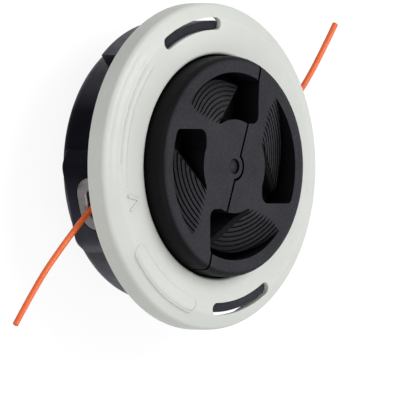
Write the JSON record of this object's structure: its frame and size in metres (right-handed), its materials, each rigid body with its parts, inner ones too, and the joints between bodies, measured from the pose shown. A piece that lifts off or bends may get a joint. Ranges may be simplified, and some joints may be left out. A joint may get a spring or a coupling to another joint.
{
  "type": "bump feed trimmer head",
  "caption": "Round tap-feed line head for a grass trimmer: black bowl, pale cover ring, turning tap knob with pinwheel grips and a fold-out winding handle, orange line tails.",
  "frame": {"origin": "centre of the collar seat at the back of the housing, on the turning axis", "axes": "+Z along the turning axis towards the tap knob; +X through the right line eyelet; +Y through a cover latch"},
  "size_m": [0.2213, 0.13, 0.0567],
  "materials": {
    "upper_housing": "satin moulded black",
    "arbor_nut": "zinc plated",
    "line_eyelet_left": "pressed bare steel",
    "line_eyelet_right": "pressed bare steel",
    "cover_ring": "fine textured pale grey",
    "spool": "moulded dark grey",
    "line_winding_lower": "smooth nylon line",
    "line_winding_upper": "smooth nylon line",
    "line_tail_left": "smooth nylon line",
    "line_tail_right": "smooth nylon line",
    "feed_spring": "spring wire",
    "thrust_washer": "stamped",
    "knob_body": "satin moulded charcoal",
    "winding_handle": "satin moulded charcoal",
    "handle_hinge_pin": "turned",
    "knob_screws": "zinc plated"
  },
  "bodies": {
    "housing": {"upper_housing": "upper_housing", "arbor_nut": "arbor_nut", "line_eyelet_left": "line_eyelet_left", "line_eyelet_right": "line_eyelet_right", "cover_ring": "cover_ring", "feed_spring": "feed_spring", "line_tail_left": "line_tail_left", "line_tail_right": "line_tail_right"},
    "thrust": {"thrust_washer": "thrust_washer"},
    "reel": {"spool": "spool", "line_winding_lower": "line_winding_lower", "line_winding_upper": "line_winding_upper", "knob_body": "knob_body", "handle_hinge_pin": "handle_hinge_pin", "knob_screws": "knob_screws"},
    "handle": {"winding_handle": "winding_handle"}
  },
  "joints": [
    {"name": "tap_slide", "type": "slide", "parent": "housing", "child": "thrust", "axis": [0, 0, -1], "range_m": [0, 0.005], "stiffness_N_per_m": 1500, "springref_m": -0.008, "deforming": ["feed_spring"]},
    {"name": "spool_spin", "type": "hinge", "parent": "thrust", "child": "reel", "pos_m": [0, 0, 0.03], "axis": [0, 0, 1], "continuous": true},
    {"name": "handle_fold", "type": "hinge", "parent": "reel", "child": "handle", "pos_m": [0.03374, -0.02416, 0.0535], "axis": [0.5821, 0.8131, 0], "range_deg": [0, 90]}
  ]
}
